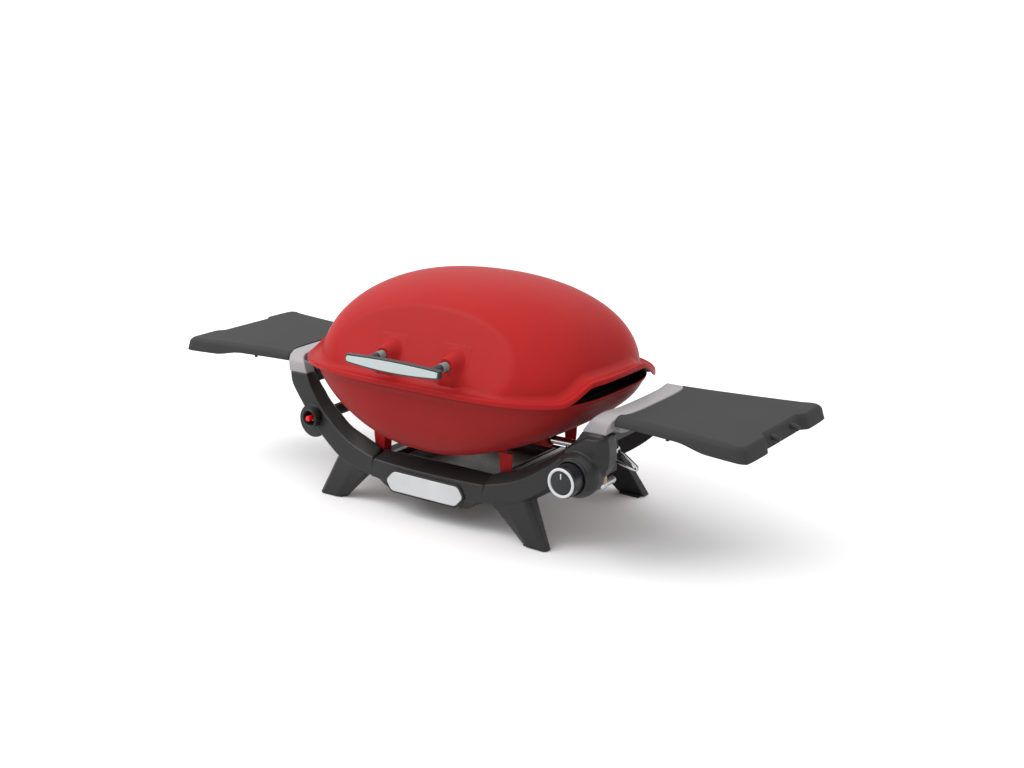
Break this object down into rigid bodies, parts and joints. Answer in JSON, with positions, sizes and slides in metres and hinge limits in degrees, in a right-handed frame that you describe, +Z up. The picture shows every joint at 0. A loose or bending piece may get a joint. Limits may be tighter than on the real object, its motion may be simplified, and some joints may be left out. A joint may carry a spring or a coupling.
{
  "type": "gas barbecue grill",
  "caption": "Portable gas barbecue grill with a domed hinged lid, cradle frame, folding side tables, push-and-turn knob and push igniter.",
  "frame": {"origin": "on the surface it stands on, under the middle of the whole grill with both tables out", "axes": "+X to the user's right, +Y to the back, +Z up"},
  "size_m": [1.29, 0.502, 0.4494],
  "materials": {
    "red_enamel": "satin red enamel on cast aluminium",
    "frame_plastic": "fine-grained charcoal nylon",
    "cap_plastic": "light titanium grey",
    "table_plastic": "dark grey textured",
    "handle_plastic": "dark nylon",
    "handle_light": "light grey satin",
    "grey_plastic": "mid grey",
    "steel": "plain zinc plated",
    "chrome": "polished",
    "brass": "machined",
    "badge_metal": "brushed",
    "pan_enamel": "dark porcelain enamel",
    "foil": "thin pressed foil",
    "cast_iron": "matt porcelain enamel",
    "rubber": "matt",
    "knob_plastic": "satin black",
    "button_red": "signal red"
  },
  "bodies": {
    "frame": {"firebox": "red_enamel", "firebox_supports": "red_enamel", "front_left_leg": "frame_plastic", "front_right_leg": "frame_plastic", "back_left_leg": "frame_plastic", "back_right_leg": "frame_plastic", "front_rail": "frame_plastic", "back_rail": "frame_plastic", "left_end_beam": "frame_plastic", "right_end_beam": "frame_plastic", "left_side_rail": "frame_plastic", "right_side_rail": "frame_plastic", "valve_housing": "frame_plastic", "igniter_disc": "frame_plastic", "igniter_cup": "frame_plastic", "badge_seat": "frame_plastic", "igniter_module": "frame_plastic", "left_end_cap": "cap_plastic", "right_end_cap": "cap_plastic", "lid_hinge_pin": "steel", "table_pins": "steel", "rail_plates": "steel", "knob_spring": "steel", "button_spring": "steel", "spark_electrode": "steel", "left_pan_rail": "steel", "right_pan_rail": "steel", "burner_tube": "chrome", "burner_loop": "chrome", "wire_loop": "chrome", "gas_inlet": "chrome", "valve_body": "brass", "inlet_neck": "brass", "badge_plate": "badge_metal", "left_grate": "cast_iron", "right_grate": "cast_iron", "lid_bumpers": "rubber", "foot_pads": "rubber", "knob_bezel": "knob_plastic"},
    "lid": {"lid_shell": "red_enamel", "lid_lugs": "red_enamel", "handle_bar": "handle_plastic", "handle_insert": "handle_light", "handle_posts": "handle_plastic", "handle_spacers": "grey_plastic", "handle_screws": "steel"},
    "left_table": {"left_table": "table_plastic", "left_table_pegs": "table_plastic"},
    "right_table": {"right_table": "table_plastic", "right_table_pegs": "table_plastic"},
    "catch_pan": {"catch_pan": "pan_enamel", "drip_tray": "foil"},
    "knob_push": {"stem_washer": "steel"},
    "knob": {"knob": "knob_plastic", "knob_ring": "chrome", "knob_face": "knob_plastic", "valve_stem": "steel"},
    "igniter_button": {"igniter_button": "button_red"}
  },
  "joints": [
    {"name": "lid_hinge", "type": "hinge", "parent": "frame", "child": "lid", "pos_m": [0, 0.243, 0.258], "axis": [-1, 0, 0], "range_deg": [0, 85]},
    {"name": "left_table_fold", "type": "hinge", "parent": "frame", "child": "left_table", "pos_m": [-0.404, 0.015, 0.2604], "axis": [0, 1, 0], "range_deg": [0, 95]},
    {"name": "right_table_fold", "type": "hinge", "parent": "frame", "child": "right_table", "pos_m": [0.404, 0.015, 0.2604], "axis": [0, -1, 0], "range_deg": [0, 95]},
    {"name": "catch_pan_slide", "type": "slide", "parent": "frame", "child": "catch_pan", "axis": [0, 1, 0], "range_m": [0, 0.2]},
    {"name": "knob_push", "type": "slide", "parent": "frame", "child": "knob_push", "axis": [0, 1, 0], "range_m": [0, 0.0045], "stiffness_N_per_m": 800, "springref_m": -0.003, "deforming": ["knob_spring"]},
    {"name": "knob_turn", "type": "hinge", "parent": "knob_push", "child": "knob", "pos_m": [0.325, -0.179, 0.154], "axis": [0, -1, 0], "range_deg": [0, 150]},
    {"name": "igniter_press", "type": "slide", "parent": "frame", "child": "igniter_button", "axis": [0, 1, 0], "range_m": [0, 0.004], "stiffness_N_per_m": 600, "springref_m": -0.003, "deforming": ["button_spring"]}
  ]
}
